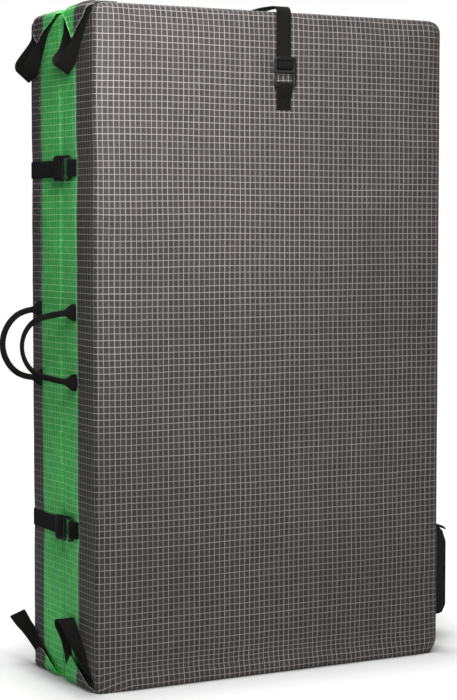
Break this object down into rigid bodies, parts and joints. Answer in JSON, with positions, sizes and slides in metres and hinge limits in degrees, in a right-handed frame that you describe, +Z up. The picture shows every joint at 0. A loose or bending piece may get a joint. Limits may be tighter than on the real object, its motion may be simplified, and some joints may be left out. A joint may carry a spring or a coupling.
{
  "type": "bouldering crash pad",
  "caption": "Foam bouldering crash pad folded shut on its end: two fabric halves on a side hinge, closure straps with buckles, carry handles, corner loops and a back harness.",
  "frame": {"origin": "on the floor under the centre of the folded pad's bounding box, harness wing, handles and straps included", "axes": "+Z up along the pad's length, X along its width, -Y out of the face that carries the top buckle, +Y out of the harness side"},
  "size_m": [0.8548, 0.3134, 1.0094],
  "materials": {
    "grey_fabric": "grey grid ripstop nylon with pale grid threads",
    "green_fabric": "green grid ripstop nylon",
    "webbing": "black woven nylon webbing",
    "plastic": "black moulded plastic, satin",
    "padding": "black fabric over moulded foam",
    "closed_foam": "closed-cell foam sheet",
    "open_foam": "open-cell foam",
    "zip_slider": "dark coated metal"
  },
  "bodies": {
    "back_half": {"back_outer_cover": "grey_fabric", "back_inner_cover": "green_fabric", "back_base_foam": "closed_foam", "back_core_foam": "open_foam", "back_top_foam": "closed_foam", "back_hinge_fabric": "green_fabric", "back_zip": "webbing", "back_top_flap": "grey_fabric", "back_bottom_flap": "grey_fabric", "upper_strap_base": "webbing", "lower_strap_base": "webbing", "top_back_anchor": "webbing", "yoke_patch": "webbing", "left_web_anchor": "webbing", "right_web_anchor": "webbing", "lumbar_pad": "padding"},
    "front_half": {"front_outer_cover": "grey_fabric", "front_inner_cover": "green_fabric", "front_base_foam": "closed_foam", "front_core_foam": "open_foam", "front_top_foam": "closed_foam", "front_hinge_fabric": "green_fabric", "front_zip": "webbing", "front_top_flap": "grey_fabric", "front_bottom_flap": "grey_fabric", "upper_strap_anchor": "webbing", "lower_strap_anchor": "webbing", "top_strap_front": "webbing", "top_strap_buckle": "plastic", "top_strap_anchor": "webbing"},
    "back_zip_slider": {"back_zip_slider": "zip_slider"},
    "front_zip_slider": {"front_zip_slider": "zip_slider"},
    "upper_strap": {"upper_strap": "webbing", "upper_strap_buckle": "plastic"},
    "lower_strap": {"lower_strap": "webbing", "lower_strap_buckle": "plastic"},
    "top_strap": {"top_strap_over": "webbing", "top_strap_hook": "plastic"},
    "front_handle": {"front_handle": "webbing"},
    "back_handle": {"back_handle": "webbing"},
    "front_top_loop": {"front_top_loop": "webbing"},
    "back_top_loop": {"back_top_loop": "webbing"},
    "front_bottom_loop": {"front_bottom_loop": "webbing"},
    "back_bottom_loop": {"back_bottom_loop": "webbing"},
    "left_shoulder": {"left_shoulder_pad": "padding", "left_shoulder_buckle": "plastic", "left_lower_web": "webbing"},
    "right_shoulder": {"right_shoulder_pad": "padding", "right_shoulder_buckle": "plastic", "right_lower_web": "webbing"},
    "left_fin": {"left_hip_fin": "padding", "left_belt_web": "webbing", "left_belt_buckle": "plastic"},
    "right_fin": {"right_hip_fin": "padding", "right_belt_web": "webbing", "right_belt_buckle": "plastic", "right_fin_tab": "webbing"}
  },
  "joints": [
    {"name": "fold", "type": "hinge", "parent": "back_half", "child": "front_half", "pos_m": [0.24044, -0.02684, 0.5], "axis": [0, 0, 1], "range_deg": [0, 180]},
    {"name": "upper_strap_swing", "type": "hinge", "parent": "back_half", "child": "upper_strap", "pos_m": [-0.35536, 0.06916, 0.764], "axis": [0, 0, -1], "range_deg": [0, 120]},
    {"name": "lower_strap_swing", "type": "hinge", "parent": "back_half", "child": "lower_strap", "pos_m": [-0.35536, 0.06916, 0.228], "axis": [0, 0, -1], "range_deg": [0, 120]},
    {"name": "top_strap_lift", "type": "hinge", "parent": "front_half", "child": "top_strap", "pos_m": [-0.04656, -0.14664, 0.9765], "axis": [1, 0, 0], "range_deg": [0, 100]},
    {"name": "front_handle_swing", "type": "hinge", "parent": "front_half", "child": "front_handle", "pos_m": [-0.35556, -0.07884, 0.5], "axis": [0, 0, 1], "range_deg": [0, 110]},
    {"name": "back_handle_swing", "type": "hinge", "parent": "back_half", "child": "back_handle", "pos_m": [-0.35556, 0.05016, 0.5], "axis": [0, 0, -1], "range_deg": [0, 60]},
    {"name": "front_top_loop_swing", "type": "hinge", "parent": "front_half", "child": "front_top_loop", "pos_m": [-0.35806, -0.06884, 0.952], "axis": [0, 1, 0], "range_deg": [0, 90]},
    {"name": "back_top_loop_swing", "type": "hinge", "parent": "back_half", "child": "back_top_loop", "pos_m": [-0.35806, 0.04716, 0.954], "axis": [0, 1, 0], "range_deg": [0, 90]},
    {"name": "front_bottom_loop_swing", "type": "hinge", "parent": "front_half", "child": "front_bottom_loop", "pos_m": [-0.35806, -0.06084, 0.042], "axis": [0, -1, 0], "range_deg": [0, 80]},
    {"name": "back_bottom_loop_swing", "type": "hinge", "parent": "back_half", "child": "back_bottom_loop", "pos_m": [-0.35806, 0.05316, 0.036], "axis": [0, -1, 0], "range_deg": [0, 80]},
    {"name": "left_shoulder_swing", "type": "hinge", "parent": "back_half", "child": "left_shoulder", "pos_m": [-0.16856, 0.09916, 0.52], "axis": [0, 0, 1], "range_deg": [-12, 12]},
    {"name": "right_shoulder_swing", "type": "hinge", "parent": "back_half", "child": "right_shoulder", "pos_m": [0.05144, 0.09916, 0.52], "axis": [0, 0, 1], "range_deg": [-12, 12]},
    {"name": "left_fin_swing", "type": "hinge", "parent": "back_half", "child": "left_fin", "pos_m": [-0.24906, 0.10466, 0.081], "axis": [0, 0, 1], "range_deg": [0, 165]},
    {"name": "right_fin_swing", "type": "hinge", "parent": "back_half", "child": "right_fin", "pos_m": [0.13194, 0.09816, 0.081], "axis": [0, 0, 1], "range_deg": [0, 95]},
    {"name": "front_zip_slide", "type": "slide", "parent": "front_half", "child": "front_zip_slider", "axis": [0, 0, 1], "range_m": [0, 0.87]},
    {"name": "back_zip_slide", "type": "slide", "parent": "back_half", "child": "back_zip_slider", "axis": [0, 0, 1], "range_m": [0, 0.87]}
  ]
}
